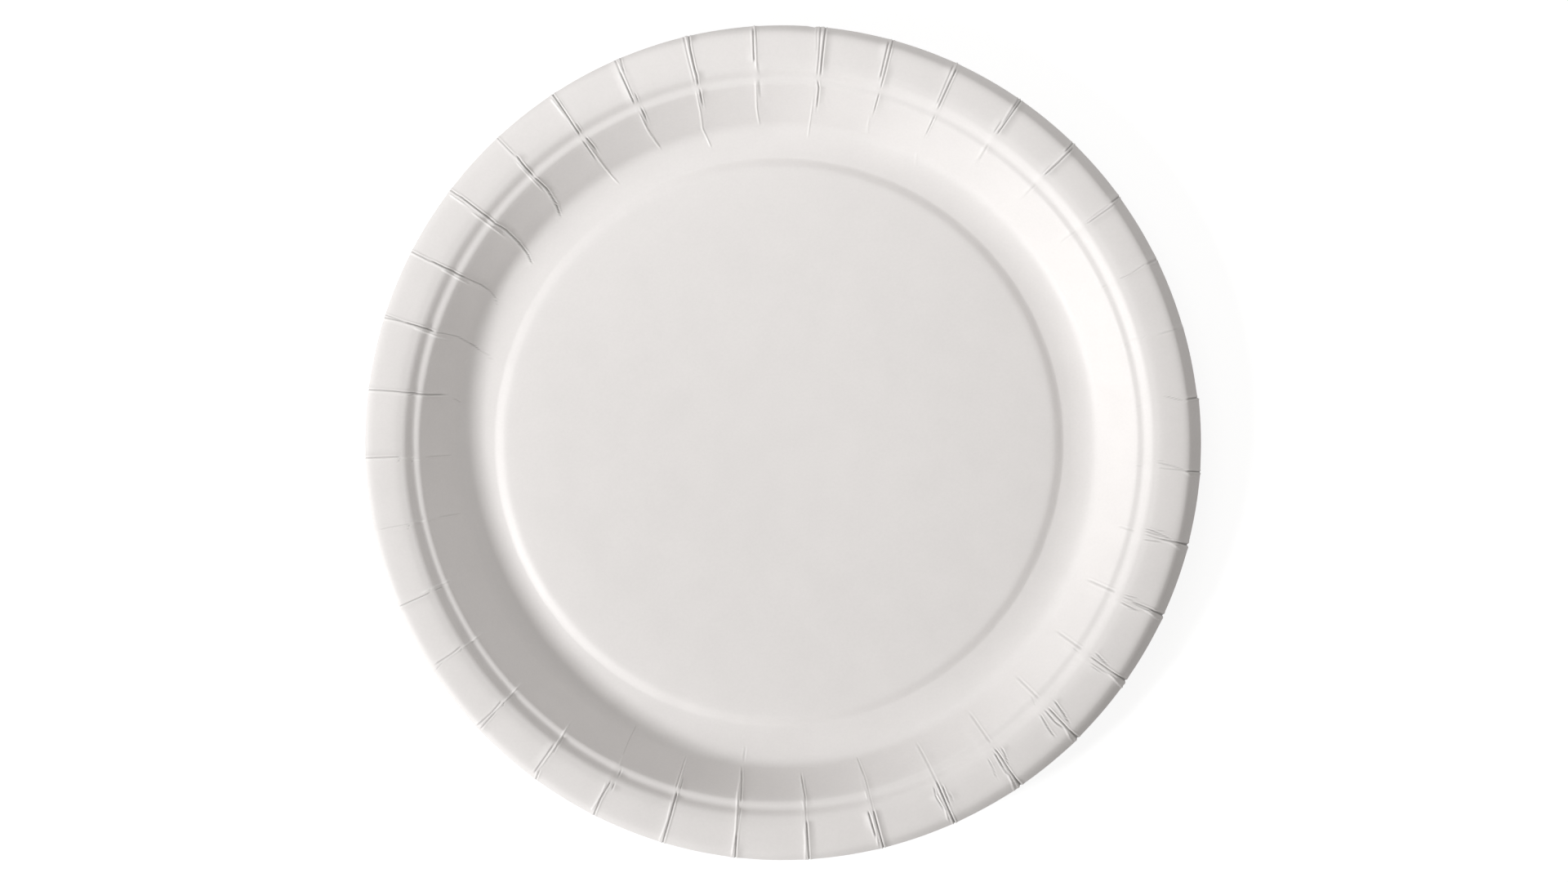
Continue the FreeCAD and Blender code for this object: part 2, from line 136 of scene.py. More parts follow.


# The pleats, listed one by one: each stroke is (kind, strength, (direction, radius), (direction, radius), ...).
# Directions are degrees from +X, counter-clockwise, and radii are millimetres, from the middle of the scores.
SLIT, RIDGE, CREASE, GAP = "slit", "ridge", "crease", "gap"
PLEATS = [
    [(SLIT, 1.0, (102.7, 115), (102.9, 110), (102.9, 105), (102.8, 103), (102.95, 101)),
     (SLIT, 0.6, (103.45, 115), (103.5, 108), (103.4, 101.5)),
     (RIDGE, 0.8, (103.15, 115), (103.2, 101)),
     (SLIT, 1.0, (102.85, 99.3), (103.0, 95.8)),
     (RIDGE, 0.7, (103.5, 98.8), (103.7, 93), (104.0, 90.2), (103.6, 87.5), (103.3, 85))],
    [(SLIT, 1.0, (93.8, 113.4), (93.95, 104.8)),
     (RIDGE, 0.9, (93.6, 115), (93.6, 108), (93.7, 103)),
     (SLIT, 0.4, (93.4, 115), (93.4, 111.5)),
     (CREASE, 0.5, (93.3, 104), (93.3, 101.5)),
     (CREASE, 0.8, (93.4, 99.5), (93.35, 95.9)),
     (RIDGE, 0.7, (93.9, 99), (94.1, 93), (94.0, 91), (93.8, 89.3))],
    [(SLIT, 1.0, (83.8, 115), (83.8, 106), (83.75, 101.5)),
     (SLIT, 0.7, (84.5, 115), (84.4, 110), (84.3, 105.5), (84.3, 101.5)),
     (RIDGE, 0.6, (84.1, 115), (84.05, 103)),
     (SLIT, 0.3, (85.0, 113.5), (84.7, 107.8)),
     (SLIT, 0.9, (84.1, 99.6), (83.8, 98), (83.8, 93.5)),
     (RIDGE, 0.4, (84.6, 95), (84.7, 91), (84.9, 86))],
    [(SLIT, 0.9, (74.9, 113.5), (74.7, 103.8)),
     (SLIT, 0.8, (74.4, 115), (74.2, 105), (74.2, 101.5)),
     (RIDGE, 0.6, (74.6, 115), (74.5, 105)),
     (SLIT, 0.8, (74.2, 99.3), (74.2, 95)),
     (RIDGE, 0.4, (74.8, 92.5), (74.3, 89.5))],
    [(SLIT, 1.0, (64.8, 113), (64.75, 101.5)),
     (SLIT, 0.6, (65.4, 113.5), (65.2, 102.5)),
     (RIDGE, 1.0, (65.05, 115), (65.0, 110.5)),
     (SLIT, 0.6, (64.7, 99), (64.7, 94.5)),
     (RIDGE, 0.3, (64.9, 89), (64.4, 87.2), (64.0, 86))],
    [(SLIT, 0.8, (55.3, 115), (55.1, 107)),
     (SLIT, 1.0, (54.9, 115), (54.9, 103.5)),
     (SLIT, 0.6, (55.5, 106.5), (55.45, 103.3)),
     (RIDGE, 0.7, (55.1, 115), (55.05, 105)),
     (CREASE, 0.6, (55.1, 99.5), (54.9, 95.5))],
    [(SLIT, 0.9, (45.7, 115), (45.6, 111.5)),
     (SLIT, 0.9, (45.2, 113.5), (45.2, 107.8), (45.35, 103.3)),
     (RIDGE, 0.8, (45.45, 115), (45.5, 108), (45.6, 103)),
     (SLIT, 0.3, (45.8, 106), (45.8, 103)),
     (CREASE, 0.4, (45.35, 99.5), (45.3, 95.7))],
    [(SLIT, 0.9, (36.0, 115), (36.0, 112)),
     (RIDGE, 0.8, (35.85, 115), (35.7, 110), (35.75, 104)),
     (SLIT, 0.5, (35.45, 112), (35.5, 104), (35.6, 103.2)),
     (SLIT, 0.4, (35.9, 111), (35.9, 103.5)),
     (CREASE, 0.3, (35.6, 99.5), (35.6, 95))],
    [(CREASE, 0.8, (26.0, 115), (26.0, 111.5)),
     (SLIT, 0.4, (26.1, 111), (25.7, 106), (25.8, 103.3)),
     (RIDGE, 0.3, (25.9, 112), (25.6, 104)),
     (CREASE, 0.3, (25.8, 99.4), (25.8, 98))],
    [(CREASE, 0.5, (16.0, 113), (16.0, 108)),
     (SLIT, 0.2, (16.4, 104), (16.0, 103)),
     (CREASE, 0.3, (16.0, 99), (15.8, 98.3))],
    [(SLIT, 1.0, (6.15, 115), (6.1, 112.0)),
     (RIDGE, 0.4, (6.0, 112.5), (5.7, 111.5)),
     (SLIT, 0.5, (6.05, 110.5), (6.4, 108.5), (6.9, 106)),
     (CREASE, 0.2, (5.9, 99.3), (5.8, 98.3))],
    [(SLIT, 1.0, (-4.0, 115), (-4.0, 111.5)),
     (RIDGE, 0.6, (-4.7, 113.5), (-4.4, 112), (-4.0, 110.5)),
     (SLIT, 0.5, (-3.8, 110.5), (-3.4, 107.5), (-3.0, 103.5)),
     (SLIT, 0.4, (-3.95, 111), (-3.8, 104)),
     (SLIT, 0.3, (-2.7, 105), (-2.7, 103.3)),
     (CREASE, 0.3, (-3.7, 99.3), (-3.7, 98))],
    [(GAP, 1.0, (-14.1, 115), (-14.1, 111)),
     (SLIT, 0.9, (-14.1, 111.5), (-14.2, 107.5)),
     (RIDGE, 0.7, (-15.0, 114), (-14.5, 111), (-14.3, 109)),
     (SLIT, 0.7, (-13.9, 110), (-13.3, 105), (-13.25, 103)),
     (SLIT, 0.6, (-13.8, 107), (-13.6, 103)),
     (SLIT, 0.5, (-14.2, 107.5), (-14.1, 103.3)),
     (SLIT, 0.6, (-14.6, 107.5), (-14.9, 103.3)),
     (SLIT, 0.4, (-12.9, 107.8), (-13.1, 106)),
     (CREASE, 0.5, (-14.0, 99.8), (-13.9, 96.3))],
    [(GAP, 1.0, (-24.3, 115), (-24.3, 111)),
     (RIDGE, 0.8, (-25.1, 114.5), (-24.7, 111), (-24.6, 109)),
     (SLIT, 0.8, (-24.2, 112), (-24.3, 106)),
     (SLIT, 0.6, (-24.55, 111), (-24.5, 106)),
     (SLIT, 0.5, (-23.5, 106.7), (-23.8, 103.3)),
     (SLIT, 0.7, (-25.2, 107.5), (-25.1, 103.3)),
     (SLIT, 0.4, (-24.9, 109), (-25.5, 106)),
     (SLIT, 0.5, (-24.1, 106), (-24.2, 103.3)),
     (CREASE, 0.7, (-24.0, 100.3), (-24.05, 92.8))],
    [(GAP, 1.0, (-34.6, 115), (-34.65, 111)),
     (SLIT, 0.8, (-34.65, 111.5), (-34.6, 103.5)),
     (RIDGE, 0.9, (-35.6, 115), (-35.3, 112), (-35.1, 109)),
     (SLIT, 0.8, (-34.2, 108), (-33.7, 104)),
     (SLIT, 0.5, (-35.2, 110), (-35.3, 104.5)),
     (SLIT, 0.4, (-35.6, 108), (-35.7, 105)),
     (CREASE, 0.6, (-34.4, 100), (-34.3, 92.6)),
     (SLIT, 0.3, (-35.1, 99.5), (-35.0, 98))],
    [(GAP, 1.0, (-44.85, 115), (-44.85, 110.5)),
     (SLIT, 0.9, (-44.85, 111), (-44.7, 103.5)),
     (RIDGE, 0.8, (-45.7, 114), (-45.2, 111), (-45.0, 108)),
     (SLIT, 0.9, (-44.2, 110), (-43.7, 107), (-43.3, 103.3)),
     (SLIT, 0.8, (-45.2, 110), (-45.5, 107.5), (-45.3, 103.3)),
     (SLIT, 0.8, (-47.0, 109.5), (-46.8, 107), (-46.3, 103.3)),
     (CREASE, 0.6, (-44.7, 99.5), (-44.7, 92)),
     (SLIT, 0.3, (-45.9, 100.3), (-45.3, 98))],
    [(GAP, 1.0, (-55.0, 115), (-55.05, 110)),
     (SLIT, 0.8, (-55.05, 110.5), (-54.9, 104), (-55.0, 102.5)),
     (RIDGE, 0.9, (-56.1, 114.8), (-55.7, 112), (-55.5, 108)),
     (SLIT, 0.9, (-55.65, 110), (-55.4, 103.5)),
     (SLIT, 0.7, (-54.7, 107.5), (-54.2, 105), (-54.1, 103.3)),
     (SLIT, 0.5, (-57.2, 108.8), (-56.8, 106), (-56.7, 103.7)),
     (CREASE, 0.5, (-55.0, 100.3), (-55.0, 91.5))],
    [(SLIT, 1.1, (-65.4, 115), (-65.3, 106), (-65.25, 102.3)),
     (RIDGE, 0.8, (-66.1, 113), (-65.8, 110), (-66.1, 105)),
     (SLIT, 0.8, (-64.9, 109), (-64.7, 104)),
     (SLIT, 0.7, (-66.0, 109.5), (-66.3, 106), (-66.0, 103.5)),
     (SLIT, 0.8, (-64.3, 108.2), (-64.2, 107.2)),
     (CREASE, 0.45, (-65.25, 102), (-65.4, 95), (-65.6, 91.5))],
    [(SLIT, 1.0, (-75.7, 115), (-75.8, 104)),
     (RIDGE, 0.8, (-76.4, 113.5), (-76.2, 110), (-76.2, 105)),
     (SLIT, 1.0, (-76.4, 110.8), (-76.6, 104)),
     (SLIT, 0.3, (-75.8, 104), (-75.8, 95), (-76.1, 91)),
     (RIDGE, 0.5, (-76.3, 100.5), (-76.3, 98.5)),
     (SLIT, 0.3, (-76.0, 94), (-76.3, 89.5))],
    [(SLIT, 1.0, (-86.05, 115), (-86.05, 104)),
     (SLIT, 0.35, (-86.1, 104), (-86.0, 97)),
     (RIDGE, 0.8, (-86.6, 114.5), (-86.4, 109), (-86.45, 106)),
     (RIDGE, 0.5, (-86.3, 101), (-86.4, 98.5)),
     (SLIT, 0.55, (-86.0, 98), (-86.4, 92))],
    [(SLIT, 1.0, (-96.2, 115), (-96.35, 108)),
     (SLIT, 0.35, (-96.3, 108), (-96.2, 101)),
     (RIDGE, 0.9, (-96.7, 114), (-96.6, 107), (-96.8, 101), (-97.0, 97)),
     (SLIT, 0.75, (-96.3, 99), (-96.6, 93), (-96.8, 90.5)),
     (RIDGE, 0.5, (-96.75, 98.5), (-97.0, 94.5)),
     (CREASE, 0.4, (-96.6, 88), (-96.6, 84.9))],
    [(SLIT, 1.0, (-106.4, 115), (-106.4, 106), (-106.5, 100.3)),
     (RIDGE, 0.7, (-106.9, 114), (-106.7, 108), (-106.9, 103)),
     (SLIT, 0.5, (-106.1, 99), (-106.2, 96)),
     (RIDGE, 0.8, (-106.6, 99), (-106.6, 91)),
     (SLIT, 0.4, (-106.85, 99), (-106.8, 90.5))],
    [(SLIT, 0.9, (-116.6, 115), (-116.8, 109), (-116.6, 104)),
     (RIDGE, 0.8, (-117.2, 113), (-117.0, 108), (-117.1, 105)),
     (SLIT, 0.8, (-115.95, 105.5), (-115.95, 104)),
     (SLIT, 0.6, (-115.9, 101.5), (-115.9, 100)),
     (RIDGE, 0.5, (-116.5, 98.8), (-116.8, 96.5)),
     (SLIT, 0.3, (-116.8, 96), (-117.0, 92), (-117.0, 88))],
    [(SLIT, 0.8, (-125.9, 114.7), (-126.3, 111.5)),
     (SLIT, 0.8, (-126.75, 112.5), (-126.85, 107), (-126.9, 103.5)),
     (RIDGE, 0.9, (-126.5, 110), (-126.55, 104), (-126.9, 97)),
     (SLIT, 0.5, (-126.2, 105), (-126.3, 103.5)),
     (SLIT, 0.5, (-126.3, 102.5), (-126.4, 100.5))],
    [(SLIT, 0.7, (-136.35, 113.3), (-136.6, 107.5)),
     (SLIT, 0.7, (-137.0, 113.5), (-136.95, 108), (-137.2, 104.5)),
     (RIDGE, 0.8, (-136.75, 111), (-136.8, 105), (-137.1, 97.8)),
     (SLIT, 0.9, (-136.5, 104.6), (-136.85, 104.0)),
     (SLIT, 0.4, (-136.7, 102.5), (-136.7, 100.8))],
    [(SLIT, 0.4, (-146.6, 113), (-146.9, 111)),
     (SLIT, 0.7, (-147.3, 112), (-147.3, 107), (-147.5, 104)),
     (RIDGE, 0.7, (-147.05, 110), (-147.15, 104), (-147.4, 98)),
     (SLIT, 0.8, (-146.9, 104.6), (-147.2, 104.0))],
    [(SLIT, 0.7, (-156.75, 113.4), (-156.8, 106), (-156.85, 104.6)),
     (SLIT, 0.9, (-156.9, 104.6), (-157.3, 104.3)),
     (RIDGE, 0.7, (-157.3, 106), (-157.4, 98.5)),
     (SLIT, 0.5, (-156.9, 103), (-156.9, 101))],
    [(SLIT, 0.3, (-167.8, 112), (-167.7, 104)),
     (SLIT, 0.9, (-167.0, 104.6), (-167.5, 104.2)),
     (RIDGE, 0.4, (-167.8, 106), (-167.6, 99)),
     (SLIT, 0.3, (-167.7, 96), (-167.5, 91))],
    [(SLIT, 0.7, (-177.9, 114), (-177.9, 104.5)),
     (SLIT, 1.0, (-177.1, 104.8), (-177.6, 104.5)),
     (RIDGE, 0.3, (-177.7, 104), (-177.7, 100)),
     (SLIT, 0.9, (-177.1, 101.1), (-177.6, 100.8)),
     (RIDGE, 0.4, (-177.3, 100.5), (-177.3, 98.8)),
     (SLIT, 0.3, (-177.7, 97), (-177.8, 91.5))],
    [(SLIT, 0.8, (172.7, 115), (172.4, 107), (172.3, 101)),
     (SLIT, 0.9, (172.3, 101), (172.3, 98), (171.9, 94)),
     (RIDGE, 0.5, (172.7, 105.5), (172.6, 99)),
     (SLIT, 0.6, (172.8, 102.7), (172.5, 101.7)),
     (SLIT, 0.4, (172.2, 91.5), (172.9, 89.5))],
    [(SLIT, 0.7, (162.5, 115), (162.2, 108)),
     (SLIT, 0.6, (162.05, 114), (162.2, 108)),
     (SLIT, 1.0, (162.2, 108), (162.15, 104), (162.2, 100)),
     (RIDGE, 0.8, (162.6, 105), (162.8, 100), (162.9, 96.5)),
     (SLIT, 0.5, (162.2, 99), (161.8, 94), (162.2, 91)),
     (SLIT, 0.6, (162.2, 91), (162.5, 89), (163.0, 87.3)),
     (CREASE, 0.4, (163.0, 87), (163.3, 84.5), (164.0, 83.5))],
    [(SLIT, 0.8, (152.6, 115), (152.6, 108)),
     (SLIT, 1.0, (152.5, 108), (152.4, 102), (152.4, 98)),
     (RIDGE, 0.8, (152.9, 104), (153.0, 100), (153.1, 97)),
     (SLIT, 0.6, (152.4, 98), (152.2, 93.5), (152.4, 91)),
     (SLIT, 0.45, (152.4, 91), (153.0, 89), (154.0, 87.8))],
    [(SLIT, 0.8, (142.6, 115), (142.5, 111)),
     (SLIT, 1.0, (142.4, 111), (142.4, 105), (142.4, 99)),
     (RIDGE, 0.8, (143.1, 113), (143.0, 108)),
     (RIDGE, 0.8, (143.3, 105), (143.3, 96)),
     (SLIT, 0.85, (142.5, 99), (142.2, 96), (142.5, 92), (143.2, 88), (144.1, 85.6))],
    [(SLIT, 0.6, (132.9, 115), (132.8, 107.5)),
     (SLIT, 1.1, (132.6, 106.5), (132.8, 103), (132.8, 100)),
     (RIDGE, 0.7, (133.3, 105), (133.4, 96)),
     (SLIT, 0.9, (132.8, 99), (132.6, 95), (133.2, 91), (134.1, 88.3))],
    [(SLIT, 1.0, (123.2, 115), (123.1, 108), (123.1, 101)),
     (RIDGE, 0.9, (123.7, 113), (123.5, 107)),
     (SLIT, 0.5, (122.8, 111.5), (122.8, 109)),
     (SLIT, 0.7, (122.6, 103.8), (122.6, 101.5)),
     (SLIT, 0.9, (122.5, 99.2), (122.2, 95.5)),
     (RIDGE, 0.7, (122.9, 98), (122.7, 92), (122.3, 87), (122.0, 85.5)),
     (SLIT, 0.6, (123.2, 99), (123.1, 94))],
    [(SLIT, 1.0, (113.4, 110.8), (113.3, 101.5)),
     (SLIT, 0.6, (113.4, 115), (113.4, 110.8)),
     (SLIT, 0.6, (112.6, 114.3), (112.9, 110)),
     (RIDGE, 0.7, (113.1, 113), (113.1, 103)),
     (SLIT, 0.7, (112.6, 103.5), (112.6, 101.5)),
     (SLIT, 0.9, (112.6, 99.3), (112.5, 96.5)),
     (RIDGE, 0.8, (113.2, 98), (113.1, 94), (112.5, 90), (112.2, 88.8))],
]

# Small nicks in the edge: direction in degrees and depth in millimetres.
NICKS = [(88.8, 0.8), (80.0, 0.9), (85.3, 0.3)]
NICK_HALF, NICKS_FROM, NICKS_GROW = 0.4, 112.0, 2.4

# How each kind of stroke is shaped: width in millimetres at strength 1, ridge height, slit depth, shade painted into
# the slit, and how high the board stands up in a lip on both sides.
STROKES = {SLIT: (0.55, 0.0, 1.0, 1.0, 0.5), RIDGE: (0.7, 1.0, 0.0, 0.0, 0.0),
           CREASE: (0.9, 0.0, 0.5, 0.45, 0.25), GAP: (1.0, 0.0, 2.0, 1.0, 0.3)}

# A stroke's end fades over this length, unless it runs out over the edge. A lip's crest and half its width are
# shares of half the slit's width.
STROKE_FADE = 0.5
OVER_THE_EDGE = 114.9
STROKES_FROM = 80.0
LIP_CREST, LIP_HALF = 1.6, 0.8

# The gathered band under a pleat is as wide as its strokes on the brim and a bit more, in degrees, and it grows
# from the wall outward over a length in millimetres. On the upper face it is a share of a fold's height.
ON_THE_BRIM = 108.0
WELT_HALF = 0.45
WELTS_FROM, WELTS_GROW = 88.0, 12.0
WELT_ABOVE = 0.25

# The skirt stands out a little more on the right: from one pleat to the next, how far at both ends.
FLARES = [(36.0, 16.0, -0.15, -0.2), (16.0, 6.1, -0.15, -0.1), (6.1, -4.0, 0.3, 0.3), (-4.0, -14.2, 0.36, 0.2),
          (-14.2, -24.4, 0.36, 0.2), (-24.4, -34.7, 0.32, 0.12), (-34.7, -44.8, 0.25, 0.08),
          (-44.8, -55.0, 0.2, 0.05), (-55.0, -65.3, 0.12, 0.0)]

# Two rings were pressed a little off the rest: toward which side, how far, and between which radii, with the width
# over which it comes in and dies out.
LEANS = [(35.0, 0.32, 66.0, 7.0, 82.0, 3.5), (-85.0, 0.5, 80.5, 6.0, 98.0, 8.0)]

# The blank's grid. Columns lie close across each pleat and a margin beside it, in degrees; in the panel only one
# column in COARSER goes on. Rows are radii in millimetres.
ACROSS_PLEAT, BETWEEN_PLEATS, PLEAT_MARGIN = 0.115, 1.0, 0.32
COARSER = 6
SKIRT_FROM, SKIRT_TO = 112.9, 114.4
EDGE_ROUNDING = 0.05
UPPER_ROWS = [30, 60, 73, 74.8, 75.4, 75.9, 76.4, 77.0, 78.0, 78.7, 79.0, 79.3, 79.7, 80.4]
UPPER_FINE = [81.2, 82.2, 83.2, 84.3, 84.9, 85.4, 86.0, 86.6, 87.25, 87.9, 88.55, 89.2, 89.7, 90.2, 91.2, 92.2,
              93.2, 94.2, 95.2, 96.2, 97.2, 98.1, 98.4, 98.7, 99.1, 99.6, 100.1, 100.5, 100.8, 101.05, 101.3,
              101.9, 102.6, 103.2, 103.6, 104.0, 104.4, 104.8, 105.3, 105.9, 106.6, 107.6, 108.6, 109.6, 110.6,
              111.1, 111.6, 112.1, 112.5, 112.9, 113.4, 113.9, 114.4]
LOWER_FINE = [114.0, 113.0, 112.4, 111.6, 110.6, 108.6, 106.6, 105.2, 104.0, 103.1, 101.6, 101.0, 100.4, 99.4,
              98.7, 98.2, 96.2, 94.0, 91.5, 89.3, 87.2, 85.0, 83.0, 81.3]
LOWER_ROWS = [80.4, 79.5, 79.0, 78.3, 76.6, 75.6, 74.8, 60, 30]


def recentred(direction, radius, shift):
    """A point's direction and radius about an axis that lies at the shift from the first one."""
    a = np.radians(direction)
    x, y = radius * np.cos(a) - shift[0], radius * np.sin(a) - shift[1]
    turned = np.degrees(np.arctan2(y, x))
    return direction + (turned - direction + 180) % 360 - 180, np.hypot(x, y)


def reach(strokes, shift=(0.0, 0.0)):
    """Lowest and highest direction of a pleat's strokes, in degrees."""
    angles = [float(recentred(p[0], p[1], shift)[0]) for s in strokes for p in s[2:]]
    return min(angles), max(angles)


def columns(fine, coarse, margin):
    """Directions of the blank's columns, closer together across each pleat, in degrees."""
    spans = sorted((low - margin, high + margin) for low, high in (reach(p, SCORE_SHIFT) for p in PLEATS))
    out = []
    for k, (low, high) in enumerate(spans):
        count = round((high - low) / fine)
        out += [low + (high - low) * i / count for i in range(count + 1)]
        after = spans[k + 1][0] if k + 1 < len(spans) else spans[0][0] + 360.0
        count = max(2, round((after - high) / coarse))
        out += [high + (after - high) * i / count for i in range(1, count)]
    while len(out) % COARSER:
        out.append((out[-1] + spans[0][0] + 360.0) / 2)
    return np.array(out)


def eased(x):
    """0 to 1 with soft ends."""
    x = np.clip(x, 0.0, 1.0)
    return x * x * (3 - 2 * x)


def apart(a, b):
    """Angle between two directions, in degrees."""
    return np.abs((a - b + 180) % 360 - 180)


def relief(angle, radius):
    """Ridge height, slit depth and the shade painted into the slits at each point, as shares."""
    ridge, slit, painted_shade = (np.zeros_like(radius) for _ in range(3))
    for strokes in PLEATS:
        low, high = reach(strokes)
        near = np.nonzero((apart(angle, (low + high) / 2) < (high - low) / 2 + 1.0) & (radius > STROKES_FROM))[0]
        a, r = angle[near], radius[near]
        for kind, strength, *path in strokes:
            width, up, down, shade, lip = STROKES[kind]
            directions, radii = (np.array([p[i] for p in path][::-1], float) for i in (0, 1))
            # a weaker stroke is narrower too, and a gap opens outward from a quarter of its width
            half = width * (0.6 + 0.4 * strength) / 2
            if kind == GAP:
                half = half * (0.25 + 0.75 * np.clip((r - radii[0]) / (radii[-1] - radii[0]), 0, 1))
            off = apart(a, np.interp(r, radii, directions)) * np.radians(1) * r
            ends = strength * eased(r - radii[0] + STROKE_FADE)
            if radii[-1] < OVER_THE_EDGE:
                ends = ends * eased(radii[-1] + STROKE_FADE - r)
            shape = np.clip(1 - (off / half) ** 2, 0, 1) ** 2 * ends
            lips = np.clip(1 - ((off - LIP_CREST * half) / (LIP_HALF * half)) ** 2, 0, 1) * ends
            ridge[near] = np.maximum(ridge[near], up * shape + lip * lips)
            slit[near] = np.maximum(slit[near], down * shape)
            # the shade painted into the slit, darkest along its middle
            painted_shade[near] = np.maximum(painted_shade[near], shade * shape)
    return ridge, slit, painted_shade


def welts(angle, radius):
    """The broad gathered band under each pleat, which also shows on the lower face."""
    out = np.zeros_like(radius)
    grown = eased((radius - WELTS_FROM) / WELTS_GROW)
    for strokes in PLEATS:
        low, high = reach([s for s in strokes if s[2][1] > ON_THE_BRIM])
        half = WELT_HALF + (high - low) / 2
        out = np.maximum(out, eased(1.2 - apart(angle, (low + high) / 2) / half) * grown)
    return out


def leaning(angle, radius):
    """How far the edge of the panel and the foot of the wall stand out, toward one side each."""
    out = np.zeros_like(radius)
    for side, most, start, fade_in, end, fade_out in LEANS:
        share = eased((radius - start) / fade_in) * eased((end - radius) / fade_out)
        out += most * np.cos(np.radians(angle - side)) * share
    return out


def flares(angle, radius):
    """How far the skirt stands out, and the notches that the pleats and nicks leave in its edge."""
    share = np.clip((radius - SKIRT_FROM) / (SKIRT_TO - SKIRT_FROM), 0, 1)
    out = np.zeros_like(radius)
    a = (angle + 180) % 360 - 180
    for start, end, first, last in FLARES:
        t = (start - a) / (start - end)
        inside = (t >= 0) & (t < 1)
        out[inside] = first + (last - first) * t[inside]
    out *= share
    for direction, depth in NICKS:
        off = apart(angle, direction) * np.radians(1) * radius
        out -= depth * np.clip(1 - off / NICK_HALF, 0, 1) * np.clip((radius - NICKS_FROM) / NICKS_GROW, 0, 1)
    return out


def blank_rows(radius):
    """Rows of the blank from the middle of the upper face, round the edge, to the middle of the lower face."""
    rounded, within = radius - EDGE_ROUNDING, radius - 2 * EDGE_ROUNDING
    rows = [(r, 0.0, False) for r in UPPER_ROWS] + [(r, 0.0, True) for r in UPPER_FINE if r < within]
    rows += [(rounded, 0.0, True), (radius, 0.1, True), (radius, 0.5, True), (radius, 0.9, True), (rounded, 1.0, True)]
    rows += [(r, 1.0, True) for r in LOWER_FINE if r < within]
    return rows + [(r, 1.0, False) for r in LOWER_ROWS]


def blank_faces(rows, count):
    """Faces between the rows: quads, and wider faces where the columns thin out toward the middle."""
    starts, total = [], 1
    for _, _, fine in rows:
        starts.append(total)
        total += count if fine else count // COARSER
    faces = []
    for (a, b), (row_a, row_b) in zip(zip(starts, starts[1:]), zip(rows, rows[1:])):
        if row_a[2] == row_b[2]:
            n = count if row_a[2] else count // COARSER
            faces += [(a + j, b + j, b + (j + 1) % n, a + (j + 1) % n) for j in range(n)]
            continue
        n = count // COARSER
        for j in range(n):
            wide = (j, (j + 1) % n)
            small = [(j * COARSER + i) % count for i in range(COARSER + 1)]
            if row_b[2]:
                faces.append((a + wide[0], *[b + i for i in small], a + wide[1]))
            else:
                faces.append((b + wide[1], *[a + i for i in small[::-1]], b + wide[0]))
    n = count // COARSER
    faces += [(0, starts[0] + j, starts[0] + (j + 1) % n) for j in range(n)]
    faces += [(starts[-1] + j, total, starts[-1] + (j + 1) % n) for j in range(n)]
    return faces


def make_blank(outline, radius):
    """The flat blank as a mesh. Each vertex knows its place along the section and its share of the folds."""
    length = np.concatenate([[0], np.cumsum(np.hypot(*np.diff(outline, axis=0).T))])
    directions = columns(ACROSS_PLEAT, BETWEEN_PLEATS, PLEAT_MARGIN)
    rows = blank_rows(radius)
    angle, reached, depth = [np.zeros(1)], [np.zeros(1)], [np.zeros(1)]
    for r, low, fine in rows:
        turned = directions if fine else directions[::COARSER]
        angle.append(turned)
        reached.append(np.full(len(turned), float(r)))
        depth.append(np.full(len(turned), low))
    angle, nominal, depth = (np.concatenate(x + [np.zeros(1)]) for x in (angle, reached, depth))
    depth[-1] = 1.0
    # the edge comes further down the skirt on the side that the blank lay toward
    share = np.clip((nominal - SKIRT_FROM) / (radius - SKIRT_FROM), 0, 1)
    wide = -DIE_SHIFT[0] * np.cos(np.radians(angle)) - DIE_SHIFT[1] * np.sin(np.radians(angle))
    reached = nominal + share * wide
    seen, seen_radius = recentred(angle, reached, (-SCORE_SHIFT[0], -SCORE_SHIFT[1]))
    flat = np.interp(reached, outline[:, 0], length)
    faces = blank_faces(rows, len(directions))
    a = np.radians(angle)
    points = np.stack([flat * np.cos(a), flat * np.sin(a), -depth * BOARD], axis=1) * MM
    mesh = bpy.data.meshes.new("blank")
    mesh.from_pydata(points.tolist(), [], faces)
    # the shade painted into the slits goes on to the material as an attribute
    ridge, slit, painted_shade = relief(seen, seen_radius)
    values = {"along": flat / length[-1], "depth": depth, "ridge": ridge, "slit": slit, "painted_shade": painted_shade,
              "welt": welts(seen, seen_radius), "flare": (flares(seen, nominal) + leaning(angle, nominal)) * MM}
    for name, numbers in values.items():
        layer = mesh.attributes.new(name, "FLOAT", "POINT")
        layer.data.foreach_set("value", numbers.astype(np.float32))
    mesh.shade_smooth()
    blank = bpy.data.objects.new("blank", mesh)
    bpy.context.collection.objects.link(blank)
    return blank


def make_section(outline):
    """The section of the dies as a curve in the XZ plane."""
    curve = bpy.data.curves.new("section", "CURVE")
    curve.dimensions = "3D"
    line = curve.splines.new("POLY")
    line.points.add(len(outline) - 1)
    for point, (r, z) in zip(line.points, outline):
        point.co = (r * MM, 0.0, z * MM, 1.0)
    section = bpy.data.objects.new("section", curve)
    bpy.context.collection.objects.link(section)
    return section


